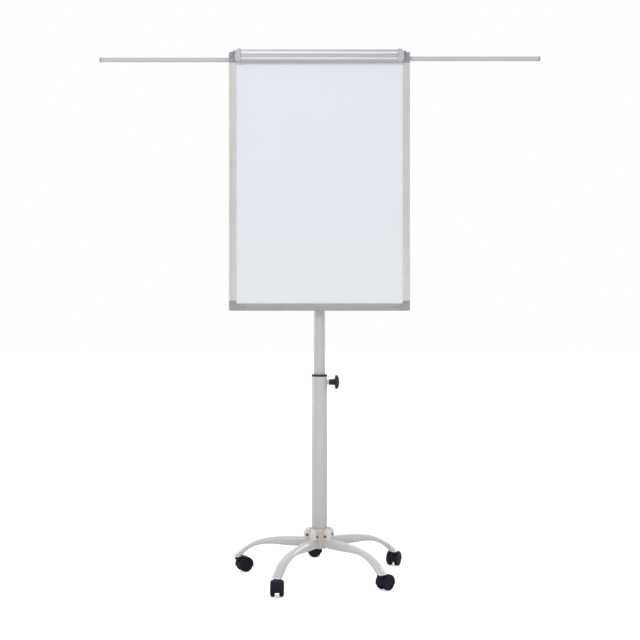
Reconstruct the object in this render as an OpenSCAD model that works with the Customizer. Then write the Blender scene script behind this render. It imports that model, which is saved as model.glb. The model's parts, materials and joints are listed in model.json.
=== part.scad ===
// Mobile flipchart easel: a framed writing board on a telescopic column, carried by a
// five-arm base on twin-wheel casters. Millimetres. X points right, Y to the rear and
// Z up, and the origin is on the floor under the column.

/* [Base] */
// Direction of the first arm, turned from straight ahead about the column
first_arm_angle = -28; // [-36:1:36]
// Distance from the column to each caster's swivel axis
swivel_r = 326; // [280:1:380]
// Height of an arm's cut tip above the floor
arm_tip_z = 62; // [50:1:70]
// Height of an arm's centre line where it is level
arm_mid_z = 131; // [110:1:160]
// Distance from the column at which an arm starts to bend down
arm_bend_r = 140; // [100:1:200]
// How late and how sharply an arm bends
arm_bend_power = 3.1; // [2:0.1:4]
// Width of an arm at the hub
arm_root_w = 29; // [24:1:34]
// Width of an arm at its tip
arm_tip_w = 42; // [34:0.5:46]
// Height of an arm at the hub
arm_root_t = 38; // [30:1:44]
// Thickness of an arm at its slimmest place
arm_waist_t = 18; // [14:1:26]
// Thickness of the light end plug in each arm's tip
end_plug_t = 5; // [3:1:8]

/* [Hub] */
// Radius of the hub's barrel
hub_r = 37; // [34:1:42]
// Height of the hub's underside
hub_bottom_z = 110; // [90:1:130]
// Height of the hub's top lip
hub_top_z = 188; // [170:1:210]
// Width of each lobe that holds an arm
lobe_w = 30; // [24:1:34]
// Distance from the column to a lobe's outer face
lobe_reach = 64; // [56:1:72]
// Radius of the cross bolt in each lobe
arm_bolt_r = 4; // [3:0.5:5]

/* [Casters] */
// Radius of a caster wheel
wheel_r = 28; // [20:1:32]
// Width of one wheel
wheel_w = 16; // [12:1:20]
// Gap between the two wheels of a caster
wheel_gap = 17.2; // [14:0.1:22]
// Distance from a swivel axis back to the axle
caster_trail = 25; // [16:1:30]
// Direction of each caster's trail about its swivel axis
caster_yaw = [-90, 45, 66, 0, 30]; // [-180:1:180]
// Radius of the caster axle
axle_r = 3; // [2:0.5:4]
// Radius of the caster stem
stem_r = 5; // [4:0.5:5.5]

/* [Column] */
// Outside radius of the lower tube
lower_tube_r = 30; // [26:0.5:34]
// Top edge of the lower tube
lower_tube_top_z = 779; // [700:1:850]
// Outside radius of the upper tube
upper_tube_r = 22; // [18:0.5:24]
// Bottom edge of the upper tube, inside the lower one
upper_tube_bottom_z = 537; // [500:1:650]
// Wall of both tubes
tube_wall = 2; // [1.5:0.1:3]
// Thickness of the black collar's flange
collar_t = 8; // [5:1:12]

/* [Height clamp] */
// Height of the clamp screw
clamp_z = 757; // [700:1:770]
// Radius of the knob
knob_r = 28; // [20:1:35]
// Radius of the knob's hub
knob_hub_r = 11.5; // [9:0.5:14]
// Radius of the clamp screw
clamp_screw_r = 4; // [3:0.5:5]

/* [Tilt head] */
// Height of the tilt bolt
tilt_z = 1460; // [1400:1:1600]
// Radius of the tilt bolt
tilt_bolt_r = 5; // [4:0.5:6]
// Radius of the round ears about the tilt bolt
tilt_ear_r = 18; // [14:1:22]

/* [Board] */
// Overall width of the frame
board_w = 700; // [600:10:800]
// Overall height of the frame
board_h = 1000; // [900:10:1200]
// Height of the frame's bottom edge
board_bottom_z = 1036; // [800:1:1200]
// Front face of the frame
frame_front_y = -56; // [-70:1:-50]
// Depth of the frame from front to back
frame_depth = 22; // [16:1:30]
// Face width of the side and bottom rails
rail_w = 27.5; // [22:0.5:35]
// Face width of the top rail, which holds the peg track
top_rail_w = 30; // [29:1:50]
// How far a corner cap covers the rail beyond the corner
cap_reach = 11.5; // [8:0.5:16]
// How far the writing sheet lies behind the frame's face
sheet_recess = 3; // [1:0.5:5]
// Thickness of the steel writing sheet
sheet_t = 0.8; // [0.5:0.1:1.5]
// Thickness of the backing panel
panel_t = 8.2; // [6:0.2:12]

/* [Pad clamp] */
// Height of the clamp bar's hinge
bar_pivot_z = 2033.5; // [2000:0.5:2060]
// Length of the bar's extrusion
bar_w = 606; // [500:1:620]
// Width of each end cap
bar_cap_w = 24; // [16:1:30]
// Radius of the hinge pins
bar_pin_r = 4; // [3:0.5:5]

/* [Pad pegs] */
// Distance from the middle to each peg
peg_x = 210; // [150:5:280]
// Radius of a peg
peg_r = 3.5; // [3:0.5:4]
// Height of the pegs
peg_z = 2019; // [2015:0.5:2020]

/* [Side arms] */
// Height of the side arms
side_arm_z = 2017; // [1990:1:2025]
// Distance from the middle to an arm's tip
side_arm_tip_x = 860; // [700:5:900]
// Length of a side arm with its tip
side_arm_l = 690; // [600:5:700]
// Height of an arm's section
side_arm_h = 16; // [12:1:20]
// Depth of an arm's section
side_arm_d = 14; // [10:1:16]
// Centre of the front arm, on the right
front_arm_y = -25.7; // [-28:0.1:-22]
// Centre of the rear arm, on the left
rear_arm_y = -9.3; // [-12:0.1:-6]

/* [Hidden] */
$fn = 64;
run_gap = 0.06;
free_gap = 0.3;
over = 1;
arm_count = 5;

arm_start_r = 33;
arm_end_r = 352;
arm_tip_r = 332;
arm_full_r = 95;
arm_slim_r = 282;
arm_steps = 14;
arm_sides = 28;
arm_spacing = 0.75;
arm_squareness = 0.8;
arm_ridge = 0.22;
tip_swell = 4;

tube_seat_z = hub_bottom_z + 6;
hub_shoulder_z = hub_top_z - 7;
lip_r = 34;
lobe_bottom_z = 146;
lobe_round = 22;
lobe_corner = 9;
lobe_top_z = hub_top_z - over;
tongue_w = 14;
tongue_in = hub_r;
tongue_out = 57;
tongue_top_z = 174;
arm_bolt_y = -46;
arm_bolt_z = 159;
arm_bolt_head_r = 6.5;
arm_bolt_socket_r = 3.2;
bolt_recess = 4;
recess_gap = 0.5;

plug_spigot_r = 8;
plug_spigot_h = 4;
stem_top_z = arm_tip_z + 11;
stem_bottom_z = 33;
neck_r = 15;
neck_top_z = arm_tip_z - over;
neck_bottom_z = 1.8 * wheel_r;
axle_half = wheel_gap / 2 + 12;
wheel_bore_l = 12.8;
wheel_bevel = 1;
wheel_lip = 3;
web_gap = 0.6;
web_half = wheel_gap / 2 - web_gap;
web_r = 13;
wheel_crown = 6.5;
wheel_dish = 2;
hood_gap = 1.2;
hood_t = 2.3;
hood_r = wheel_r + hood_gap + hood_t;
hood_cut_z = 20;
wheel_out = wheel_gap / 2 + wheel_w;

collar_r = lower_tube_r + 0.5;
collar_skirt = 12;
collar_bore_r = upper_tube_r + free_gap;
bush_r = lower_tube_r - tube_wall - free_gap;
bush_h = 30;
bush_lift = 3;

boss_r = 10;
boss_in_x = lower_tube_r - 1.5;
boss_out_x = 36.5;
shoe_r = 5;
shoe_out_x = 25.5;
screw_tip_r = 2;
screw_tip_l = 1.5;
screw_in_x = shoe_out_x + 0.1;
screw_out_x = 58;
knob_in_x = 37.2;
knob_disc_x = 60;
knob_out_x = 78;
knob_edge_t = 5;
knob_bevel = 1;
knob_lip = 2;
knob_flare = 3;

head_r = 26;
head_bottom_z = tilt_z - 64;
head_top_z = tilt_z - 20;
head_cap_t = 4;
upper_tube_top_z = head_top_z - head_cap_t;
tongue_half = 12.5;
cheek_in = 13;
cheek_t = 4;
bolt_head_r = 8.5;
bolt_head_t = 7;
bolt_side_gap = 0.5;

board_top_z = board_bottom_z + board_h;
board_mid_z = board_bottom_z + board_h / 2;
frame_back_y = frame_front_y + frame_depth;
rail_skin = 2;
rail_round = 3;
slot_depth = 8;
slot_t = sheet_t + panel_t;
chamber_w = 15;
groove_at = 9;
groove_w = 3;
groove_d = 1;
top_chamber_w = 7.5;
top_slot_depth = 5;
track_at = board_top_z - peg_z;
track_w = 13;
track_d = 6;
track_mouth = 5.6;
spigot_l = 24;
spigot_gap = 0.1;
cap_round = 6;
cap_fillet = 6.5;
sheet_half = board_w / 2 - rail_w + slot_depth - over;
sheet_bottom_z = board_bottom_z + rail_w - slot_depth + over;
sheet_top_z = board_top_z - top_rail_w + top_slot_depth - over;
sheet_front_y = frame_front_y + sheet_recess;
panel_front_y = sheet_front_y + sheet_t;
panel_back_y = panel_front_y + panel_t;

cross_h = 70;
cross_t = 3;
cross_flange = 9;
cross_half = board_w / 2 - rail_w;

bar_pivot_y = frame_front_y - 10;
bar_round = 9.5;
bar_bore = 7;
bar_face_h = 8.5;
bar_low_face_h = 3.5;
bar_low_y = bar_pivot_y - 1.5;
bar_low_z = bar_pivot_z - 27;
bar_low_r = 8;
bar_low_bore = 5.8;
bar_web_t = 3;
bar_web_y = bar_pivot_y - 5;
bar_foot_y = frame_front_y - 1;
bar_foot_z = bar_pivot_z - 38;
bar_foot_t = 3;
bar_foot_blend = 0.7;
cap_front_r = 13.5;
cap_dome_r = 20;
cap_chin_r = 14;
cap_low_r = 10.5;
cap_low_z = bar_pivot_z - 29;
cap_low_y = bar_pivot_y - 1;
cap_front_in = 4;
cap_front_y = bar_low_y - bar_low_r - 2;
cap_back_y = bar_pivot_y + 6;
cap_in_x = bar_w / 2;
cap_out_x = cap_in_x + bar_cap_w;
cap_spigot_l = 12;
pin_in_x = cap_in_x + 8;
ear_in_x = cap_out_x + 2;
ear_t = 4;
ear_r = 7.5;
ear_foot_x = 346;
ear_foot_t = 2.5;
ear_top_z = board_top_z;

peg_foot_w = 18;
peg_foot_h = track_w - 0.6;
peg_foot_d = track_d - 0.6;
peg_neck_r = 2.5;
peg_flange_r = 6;
peg_flange_t = 1;
peg_tip_y = frame_front_y - 6;

guide_xs = [-335, -190, 190, 335];
guide_w = 16;
guide_wall = 4.5;
guide_gap = 0.4;
guide_back_y = rear_arm_y + side_arm_d / 2 + guide_gap + 1.6;
side_arm_wall = 1.2;
side_arm_round = 2;
tip_l = 8;
tip_dome_r = 20;
tip_spigot_l = 14;

paint_light = [0.80, 0.80, 0.79];
paint_tube = [0.75, 0.75, 0.77];
cast_gloss = [0.78, 0.77, 0.76];
plug_white = [0.90, 0.90, 0.92];
plastic_black = [0.13, 0.12, 0.16];
knob_dark = [0.22, 0.20, 0.27];
steel = [0.62, 0.62, 0.64];
black_steel = [0.14, 0.14, 0.15];
rail_silver = [0.76, 0.77, 0.79];
cap_grey = [0.60, 0.61, 0.63];
sheet_white = [0.91, 0.92, 0.95];
panel_grey = [0.72, 0.72, 0.72];
guide_grey = [0.35, 0.35, 0.37];
bar_silver = [0.80, 0.81, 0.83];

// ---- Places ----------------------------------------------------------------

function arm_angle(i) = first_arm_angle + (i - 1) * 360 / arm_count;

// Children drawn pointing ahead (towards -Y) are turned to arm i.
module on_arm(i) {
    rotate([0, 0, arm_angle(i)])
        children();
}

// Children drawn about a swivel axis, trailing along +X, are placed at caster i.
module at_caster(i) {
    on_arm(i)
        translate([0, -swivel_r, 0])
            rotate([0, 0, caster_yaw[i - 1] - arm_angle(i)])
                children();
}

// A cylinder along X from one x to another.
module bar_x(r, from, to) {
    translate([from, 0, 0])
        rotate([0, 90, 0])
            cylinder(r = r, h = to - from);
}

// A cylinder along Y from one y to another.
module bar_y(r, from, to) {
    translate([0, to, 0])
        rotate([90, 0, 0])
            cylinder(r = r, h = to - from);
}

// A flat outline in (y, z) is made solid along X between two x values.
module along_x(from, to) {
    translate([from, 0, 0])
        rotate([90, 0, 90])
            linear_extrude(height = to - from)
                children();
}

// A box between two opposite corners.
module box(low, high) {
    translate(low)
        cube(high - low);
}

// Children and their mirror image across the middle plane.
module both_sides() {
    children();
    mirror([1, 0, 0])
        children();
}

// ---- Base arms -------------------------------------------------------------

function smooth(t) = let (c = min(1, max(0, t))) c * c * (3 - 2 * c);
function bent(r) = max(0, (r - arm_bend_r) / (arm_tip_r - arm_bend_r));
function arm_fall() = arm_mid_z - arm_tip_z;
function arm_z(r) = arm_mid_z - arm_fall() * pow(bent(r), arm_bend_power);
function arm_dip(r) = atan(arm_fall() * arm_bend_power * pow(bent(r), arm_bend_power - 1)
    / (arm_tip_r - arm_bend_r));
function arm_w(r) = arm_root_w + (arm_tip_w - arm_root_w) * smooth(bent(r));
function arm_t(r) = arm_root_t
    - (arm_root_t - arm_waist_t) * smooth((r - arm_full_r) / (arm_slim_r - arm_full_r))
    + tip_swell * smooth((r - arm_slim_r) / (arm_tip_r - arm_slim_r));
function spow(v) = sign(v) * pow(abs(v), arm_squareness);
function arm_r(k) = arm_start_r
    + (arm_end_r - arm_start_r) * pow(k / arm_steps, arm_spacing);
function arm_half_w(r, a) = arm_w(r) / 2 * spow(cos(a))
    * (1 - arm_ridge * max(0, sin(a)) * max(0, 1 - bent(r)));
function arm_point(r, a) = let (s = arm_t(r) / 2 * spow(sin(a)))
    [arm_half_w(r, a), -r - s * sin(arm_dip(r)), arm_z(r) + s * cos(arm_dip(r))];

// The arm's outer skin, lofted through rings of points along its bent centre line.
module arm_loft() {
    n = arm_sides;
    points = [
        for (k = [0:arm_steps])
            for (i = [0:n - 1])
                arm_point(arm_r(k), i * 360 / n)
    ];
    sides = [
        for (k = [0:arm_steps - 1])
            for (i = [0:n - 1])
                let (a = k * n + i, b = k * n + (i + 1) % n)
                    each [[b, a, a + n], [b, a + n, b + n]]
    ];
    root = [for (i = [0:n - 1]) i];
    tip = [for (i = [n - 1:-1:0]) arm_steps * n + i];
    polyhedron(points = points, faces = concat([root, tip], sides));
}

module arm_cross_bore(r) {
    translate([0, arm_bolt_y, arm_bolt_z])
        bar_x(r, -lobe_w, lobe_w);
}

module base_arm(i) {
    plug_top_z = arm_tip_z + end_plug_t;
    color(paint_light)
        on_arm(i)
            difference() {
                union() {
                    difference() {
                        arm_loft();
                        box([-lobe_w, -lobe_reach, lobe_bottom_z],
                            [lobe_w, 0, hub_top_z]);
                    }
                    box([-tongue_w / 2, -tongue_out, arm_mid_z],
                        [tongue_w / 2, -tongue_in, tongue_top_z]);
                }
                cylinder(r = hub_r, h = hub_top_z);
                box([-arm_tip_w, -arm_end_r - arm_tip_w, -arm_tip_z],
                    [arm_tip_w, -arm_slim_r + arm_root_t, plug_top_z]);
                translate([0, -swivel_r, 0]) {
                    cylinder(r = plug_spigot_r, h = plug_top_z + plug_spigot_h - over);
                    cylinder(r = stem_r + run_gap, h = stem_top_z + over);
                }
                arm_cross_bore(arm_bolt_r);
            }
}

module arm_end_plugs() {
    plug_top_z = arm_tip_z + end_plug_t;
    color(plug_white)
        for (i = [1:arm_count])
            on_arm(i)
                difference() {
                    union() {
                        intersection() {
                            arm_loft();
                            box([-arm_tip_w, -arm_end_r - arm_tip_w, arm_tip_z],
                                [arm_tip_w, -arm_slim_r, plug_top_z]);
                        }
                        translate([0, -swivel_r, arm_tip_z])
                            cylinder(r = plug_spigot_r,
                                h = end_plug_t + plug_spigot_h - over);
                    }
                    translate([0, -swivel_r, 0])
                        cylinder(r = stem_r + run_gap, h = stem_top_z + over);
                }
}

// ---- Hub -------------------------------------------------------------------

// Side view of a lobe in (y, z): upright outer face, then a round shoulder.
module lobe_side() {
    low = lobe_top_z - lobe_round;
    translate([-lobe_reach, lobe_bottom_z])
        square([lobe_reach - upper_tube_r, low - lobe_bottom_z]);
    translate([-lobe_reach + lobe_round, lobe_bottom_z])
        square([lobe_reach - lobe_round - upper_tube_r, lobe_top_z - lobe_bottom_z]);
    translate([-lobe_reach + lobe_round, low])
        circle(r = lobe_round);
}

// Front view of a lobe in (x, z): a block with two round top corners.
module lobe_front() {
    half = lobe_w / 2;
    low = lobe_top_z - lobe_corner;
    translate([-half, lobe_bottom_z])
        square([lobe_w, low - lobe_bottom_z]);
    translate([-half + lobe_corner, lobe_bottom_z])
        square([lobe_w - 2 * lobe_corner, lobe_top_z - lobe_bottom_z]);
    for (side = [-1, 1])
        translate([side * (half - lobe_corner), low])
            circle(r = lobe_corner);
}

module hub_lobe() {
    intersection() {
        along_x(-lobe_w / 2, lobe_w / 2)
            lobe_side();
        rotate([90, 0, 0])
            linear_extrude(height = lobe_reach + over)
                lobe_front();
    }
}

module lobe_hollows() {
    box([-tongue_w / 2, -tongue_out - over, lobe_bottom_z - over],
        [tongue_w / 2, -tongue_in, tongue_top_z + over]);
    arm_cross_bore(arm_bolt_r);
    translate([0, arm_bolt_y, arm_bolt_z])
        both_sides()
            bar_x(arm_bolt_head_r + recess_gap, lobe_w / 2 - bolt_recess, lobe_w);
}

module base_hub() {
    color(cast_gloss)
        difference() {
            union() {
                translate([0, 0, hub_bottom_z])
                    cylinder(r = hub_r, h = hub_shoulder_z - hub_bottom_z);
                translate([0, 0, hub_bottom_z])
                    cylinder(r = lip_r, h = hub_top_z - hub_bottom_z);
                for (i = [1:arm_count])
                    on_arm(i)
                        hub_lobe();
            }
            translate([0, 0, tube_seat_z])
                cylinder(r = lower_tube_r, h = hub_top_z);
            for (i = [1:arm_count])
                on_arm(i)
                    lobe_hollows();
        }
}

module arm_bolts() {
    seat = lobe_w / 2 - bolt_recess;
    head_t = bolt_recess - recess_gap;
    color(black_steel)
        for (i = [1:arm_count])
            on_arm(i)
                translate([0, arm_bolt_y, arm_bolt_z])
                    difference() {
                        union() {
                            bar_x(arm_bolt_r, -seat, seat);
                            bar_x(arm_bolt_head_r, seat, seat + head_t);
                            bar_x(arm_bolt_head_r, -seat - head_t, -seat);
                        }
                        translate([seat + over, 0, 0])
                            rotate([0, 90, 0])
                                cylinder(r = arm_bolt_socket_r, h = head_t, $fn = 6);
                    }
}

// ---- Casters ---------------------------------------------------------------

module at_axle() {
    translate([caster_trail, 0, wheel_r])
        rotate([-90, 0, 0])
            children();
}

// Half section of a domed ring about the axle: full radius on the tread, then a quarter
// ellipse in to the outer face.
function crown(r, grow, reach) = [
    for (a = [0:10:90])
        [r + grow - wheel_crown * (1 - cos(a)), reach - wheel_crown * (1 - sin(a))]
];

module wheel(i, side) {
    inner = wheel_gap / 2;
    rim = wheel_r - wheel_crown;
    color(plastic_black)
        at_caster(i)
            at_axle()
                mirror([0, 0, side < 0 ? 1 : 0])
                    difference() {
                        rotate_extrude()
                            polygon(concat(
                                [[0, inner], [wheel_r - wheel_bevel, inner],
                                    [wheel_r, inner + wheel_bevel]],
                                crown(wheel_r, 0, wheel_out),
                                [[rim - wheel_lip, wheel_out - wheel_dish],
                                    [0, wheel_out - wheel_dish]]
                            ));
                        translate([0, 0, inner - over])
                            cylinder(r = axle_r + run_gap, h = wheel_bore_l + over);
                    }
}

// The fender over both wheels, as a ring about the axle.
module hood_ring() {
    grow = hood_gap;
    reach = wheel_out;
    outer = crown(wheel_r, grow + hood_t, reach);
    inner = crown(wheel_r, grow, reach);
    half = concat(outer, [for (k = [len(inner) - 1:-1:0]) inner[k]]);
    rotate_extrude()
        polygon(concat(
            [[wheel_r + grow, 0], [wheel_r + grow + hood_t, 0]],
            half
        ));
}

module caster_hood(i) {
    color(plastic_black)
        at_caster(i)
            difference() {
                union() {
                    difference() {
                        at_axle() {
                            hood_ring();
                            mirror([0, 0, 1])
                                hood_ring();
                            translate([0, 0, -web_half])
                                cylinder(r = hood_r - hood_t / 2, h = 2 * web_half);
                        }
                        box([-hood_r, -wheel_out - over, -hood_r],
                            [caster_trail - web_r, wheel_out + over, hood_cut_z]);
                        box([-hood_r, -wheel_out - over, -hood_r],
                            [caster_trail + hood_r + over, wheel_out + over,
                                wheel_r - web_r]);
                        box([caster_trail + web_r, -wheel_out - over, -hood_r],
                            [caster_trail + hood_r + over, wheel_out + over, hood_cut_z]);
                    }
                    translate([0, 0, stem_bottom_z])
                        cylinder(r = web_half, h = neck_top_z - stem_bottom_z);
                    translate([0, 0, neck_bottom_z])
                        cylinder(r = neck_r, h = neck_top_z - neck_bottom_z);
                }
                wheel_room();
                translate([0, 0, stem_bottom_z])
                    cylinder(r = stem_r, h = neck_top_z);
                at_axle()
                    cylinder(r = axle_r, h = 2 * wheel_out, center = true);
            }
}

// The room each wheel turns in, taken out of the neck.
module wheel_room() {
    at_axle()
        both_ends()
            translate([0, 0, web_half])
                cylinder(r = wheel_r + hood_gap, h = wheel_w - wheel_crown + web_gap);
}

module both_ends() {
    children();
    mirror([0, 0, 1])
        children();
}

module caster_stem(i) {
    color(steel)
        at_caster(i)
            translate([0, 0, stem_bottom_z])
                cylinder(r = stem_r, h = stem_top_z - stem_bottom_z);
}

module caster_axle(i) {
    color(steel)
        at_caster(i)
            at_axle()
                cylinder(r = axle_r, h = 2 * axle_half, center = true);
}

// ---- Column ----------------------------------------------------------------

module lower_tube() {
    color(paint_tube)
        difference() {
            union() {
                translate([0, 0, tube_seat_z])
                    cylinder(r = lower_tube_r, h = lower_tube_top_z - tube_seat_z);
                translate([0, 0, clamp_z])
                    bar_x(boss_r, boss_in_x, boss_out_x);
            }
            translate([0, 0, tube_seat_z - over])
                cylinder(r = lower_tube_r - tube_wall, h = lower_tube_top_z);
            translate([0, 0, clamp_z])
                bar_x(clamp_screw_r, upper_tube_r, boss_out_x + over);
        }
}

module column_collar() {
    color(plastic_black)
        translate([0, 0, lower_tube_top_z])
            difference() {
                union() {
                    cylinder(r = collar_r, h = collar_t);
                    translate([0, 0, -collar_skirt])
                        cylinder(r = lower_tube_r - tube_wall, h = collar_skirt);
                }
                translate([0, 0, -collar_skirt - over])
                    cylinder(r = collar_bore_r, h = collar_skirt + collar_t + 2 * over);
            }
}

module upper_tube() {
    color(paint_tube)
        translate([0, 0, upper_tube_bottom_z])
            difference() {
                cylinder(r = upper_tube_r, h = upper_tube_top_z - upper_tube_bottom_z);
                translate([0, 0, -over])
                    cylinder(r = upper_tube_r - tube_wall, h = tilt_z);
            }
}

module glide_bush() {
    color(plastic_black)
        translate([0, 0, upper_tube_bottom_z + bush_lift])
            difference() {
                cylinder(r = bush_r, h = bush_h);
                translate([0, 0, -over])
                    cylinder(r = upper_tube_r, h = bush_h + 2 * over);
            }
}

// ---- Height clamp ----------------------------------------------------------

module friction_shoe() {
    color(plug_white)
        difference() {
            translate([0, 0, clamp_z]) {
                difference() {
                    bar_x(shoe_r, upper_tube_r - over, shoe_out_x);
                    bar_x(screw_tip_r + spigot_gap, shoe_out_x - screw_tip_l,
                        shoe_out_x + over);
                }
            }
            translate([0, 0, clamp_z - knob_r])
                cylinder(r = upper_tube_r + run_gap, h = 2 * knob_r);
        }
}

module clamp_screw() {
    color(steel)
        translate([0, 0, clamp_z]) {
            bar_x(clamp_screw_r - run_gap, screw_in_x, screw_out_x);
            bar_x(screw_tip_r, screw_in_x - screw_tip_l, screw_in_x);
        }
}

// A mushroom knob: a slim hub and a domed disc, turned about the screw's axis.
module clamp_knob() {
    rise = knob_out_x - knob_disc_x - knob_edge_t;
    dome = [
        for (a = [0:10:80])
            [(knob_r - knob_lip) * cos(a) + knob_lip,
                knob_disc_x + knob_edge_t + rise * sin(a)]
    ];
    color(knob_dark)
        translate([0, 0, clamp_z])
            rotate([0, 90, 0])
                difference() {
                    rotate_extrude()
                        polygon(concat(
                            [[0, knob_in_x], [knob_hub_r - knob_bevel, knob_in_x],
                                [knob_hub_r, knob_in_x + knob_bevel],
                                [knob_hub_r, knob_disc_x - knob_flare],
                                [knob_hub_r + knob_flare, knob_disc_x],
                                [knob_r - knob_lip, knob_disc_x + knob_bevel],
                                [knob_r, knob_disc_x + knob_flare]],
                            dome,
                            [[0, knob_out_x]]
                        ));
                    translate([0, 0, knob_in_x - over])
                        cylinder(r = clamp_screw_r - run_gap,
                            h = screw_out_x - knob_in_x + over);
                }
}

// ---- Tilt head -------------------------------------------------------------

module tilt_head() {
    color(black_steel)
        difference() {
            union() {
                translate([0, 0, head_bottom_z])
                    cylinder(r = head_r, h = head_top_z - head_bottom_z);
                translate([0, 0, tilt_z])
                    bar_x(tilt_ear_r, -tongue_half, tongue_half);
                box([-tongue_half, -tilt_ear_r, head_top_z - over],
                    [tongue_half, tilt_ear_r, tilt_z]);
            }
            translate([0, 0, head_bottom_z - over])
                cylinder(r = upper_tube_r, h = upper_tube_top_z - head_bottom_z + over);
            translate([0, 0, tilt_z])
                bar_x(tilt_bolt_r, -head_r, head_r);
        }
}

module tilt_bolt() {
    seat = cheek_in + cheek_t + bolt_side_gap;
    color(steel)
        translate([0, 0, tilt_z]) {
            bar_x(tilt_bolt_r, -seat, seat);
            both_sides()
                translate([seat, 0, 0])
                    rotate([0, 90, 0])
                        cylinder(r = bolt_head_r, h = bolt_head_t, $fn = 6);
        }
}

// The channel across the back of the board, with two ears about the tilt bolt.
module board_bracket() {
    back = panel_back_y;
    low_z = tilt_z - cross_h / 2;
    high_z = tilt_z + cross_h / 2;
    color(black_steel)
        difference() {
            union() {
                box([-cross_half, back, low_z], [cross_half, back + cross_t, high_z]);
                box([-cross_half, back, low_z],
                    [cross_half, back + cross_flange, low_z + cross_t]);
                box([-cross_half, back, high_z - cross_t],
                    [cross_half, back + cross_flange, high_z]);
                both_sides() {
                    box([cheek_in, back, tilt_z - tilt_ear_r],
                        [cheek_in + cheek_t, 0, tilt_z + tilt_ear_r]);
                    translate([0, 0, tilt_z])
                        bar_x(tilt_ear_r, cheek_in, cheek_in + cheek_t);
                }
            }
            translate([0, 0, tilt_z])
                bar_x(tilt_bolt_r + run_gap, -head_r, head_r);
        }
}

// ---- Board -----------------------------------------------------------------

// Section of a rail, from its outer edge (x = 0) inwards and from its face (y = 0) back.
module rail_outline(width) {
    translate([rail_round, 0])
        square([width - rail_round, frame_depth]);
    translate([0, rail_round])
        square([width, frame_depth - 2 * rail_round]);
    for (y = [rail_round, frame_depth - rail_round])
        translate([rail_round, y])
            circle(r = rail_round);
}

module panel_slot(width, depth) {
    translate([width - depth, sheet_recess])
        square([depth + over, slot_t]);
}

module rail_section() {
    difference() {
        rail_outline(rail_w);
        translate([rail_skin, rail_skin])
            square([chamber_w, frame_depth - 2 * rail_skin]);
        translate([groove_at, -over])
            square([groove_w, groove_d + over]);
        panel_slot(rail_w, slot_depth);
    }
}

module top_rail_section() {
    lower_at = track_at - track_w / 2;
    difference() {
        rail_outline(top_rail_w);
        translate([rail_skin, rail_skin])
            square([top_chamber_w, frame_depth - 2 * rail_skin]);
        translate([lower_at, rail_skin])
            square([track_w, track_d]);
        translate([track_at - track_mouth / 2, -over])
            square([track_mouth, rail_skin + 2 * over]);
        translate([lower_at, track_d + 2 * rail_skin])
            square([track_w, frame_depth - track_d - 3 * rail_skin]);
        panel_slot(top_rail_w, top_slot_depth);
    }
}

module upright_rail() {
    low_z = board_bottom_z + rail_w + cap_reach;
    high_z = board_top_z - top_rail_w - cap_reach;
    translate([board_w / 2, frame_front_y, low_z])
        mirror([1, 0, 0])
            linear_extrude(height = high_z - low_z)
                rail_section();
}

module rail_right() {
    color(rail_silver)
        upright_rail();
}

module rail_left() {
    color(rail_silver)
        mirror([1, 0, 0])
            upright_rail();
}

module rail_bottom() {
    half = board_w / 2 - rail_w - cap_reach;
    color(rail_silver)
        translate([0, frame_front_y, board_bottom_z])
            along_x(-half, half)
                mirror([1, -1])
                    rail_section();
}

module rail_top() {
    half = board_w / 2 - rail_w - cap_reach;
    color(rail_silver)
        translate([0, frame_front_y, board_top_z])
            mirror([0, 0, 1])
                along_x(-half, half)
                    mirror([1, -1])
                        top_rail_section();
}

// Front view of a corner cap in (x, z) from its outer corner: an L with a round outer
// corner and a round inner one.
module cap_outline(cross_w) {
    difference() {
        union() {
            square([rail_w, cross_w + cap_reach]);
            square([rail_w + cap_reach, cross_w]);
            translate([rail_w, cross_w])
                square(cap_fillet);
        }
        translate([rail_w + cap_fillet, cross_w + cap_fillet])
            circle(r = cap_fillet);
        difference() {
            translate([-over, -over])
                square(cap_round + over);
            translate([cap_round, cap_round])
                circle(r = cap_round);
        }
    }
}

module corner_cap(cross_w, chamber, slot) {
    fit = spigot_gap;
    deep = frame_depth - 2 * rail_skin;
    difference() {
        translate([0, frame_depth, 0])
            rotate([90, 0, 0])
                linear_extrude(height = frame_depth)
                    cap_outline(cross_w);
        box([rail_w - slot_depth, sheet_recess, cross_w - slot],
            [2 * rail_w, sheet_recess + slot_t, 2 * cross_w]);
    }
    box([rail_skin + fit, rail_skin + fit, cross_w + cap_reach - over],
        [rail_skin + chamber_w - fit, rail_skin + deep - fit,
            cross_w + cap_reach + spigot_l]);
    box([rail_w + cap_reach - over, rail_skin + fit, rail_skin + fit],
        [rail_w + cap_reach + spigot_l, rail_skin + deep - fit,
            rail_skin + chamber - fit]);
}

module corner_caps() {
    color(cap_grey)
        both_sides() {
            translate([-board_w / 2, frame_front_y, board_bottom_z])
                corner_cap(rail_w, chamber_w, slot_depth);
            translate([-board_w / 2, frame_front_y, board_top_z])
                mirror([0, 0, 1])
                    corner_cap(top_rail_w, top_chamber_w, top_slot_depth);
        }
}

module writing_sheet() {
    color(sheet_white)
        box([-sheet_half, sheet_front_y, sheet_bottom_z],
            [sheet_half, panel_front_y, sheet_top_z]);
}

module backing_panel() {
    color(panel_grey)
        box([-sheet_half, panel_front_y, sheet_bottom_z],
            [sheet_half, panel_back_y, sheet_top_z]);
}

// ---- Side arms and their guides --------------------------------------------

module guide_lane(y) {
    gap_h = side_arm_h / 2 + guide_gap;
    gap_d = side_arm_d / 2 + guide_gap;
    box([-guide_w, y - gap_d, side_arm_z - gap_h],
        [guide_w, y + gap_d, side_arm_z + gap_h]);
}

module arm_guides() {
    half_h = side_arm_h / 2 + guide_wall;
    color(guide_grey)
        for (x = guide_xs)
            translate([x, 0, 0])
                difference() {
                    box([-guide_w / 2, frame_back_y, side_arm_z - half_h],
                        [guide_w / 2, guide_back_y, side_arm_z + half_h]);
                    guide_lane(front_arm_y);
                    guide_lane(rear_arm_y);
                }
}

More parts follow.
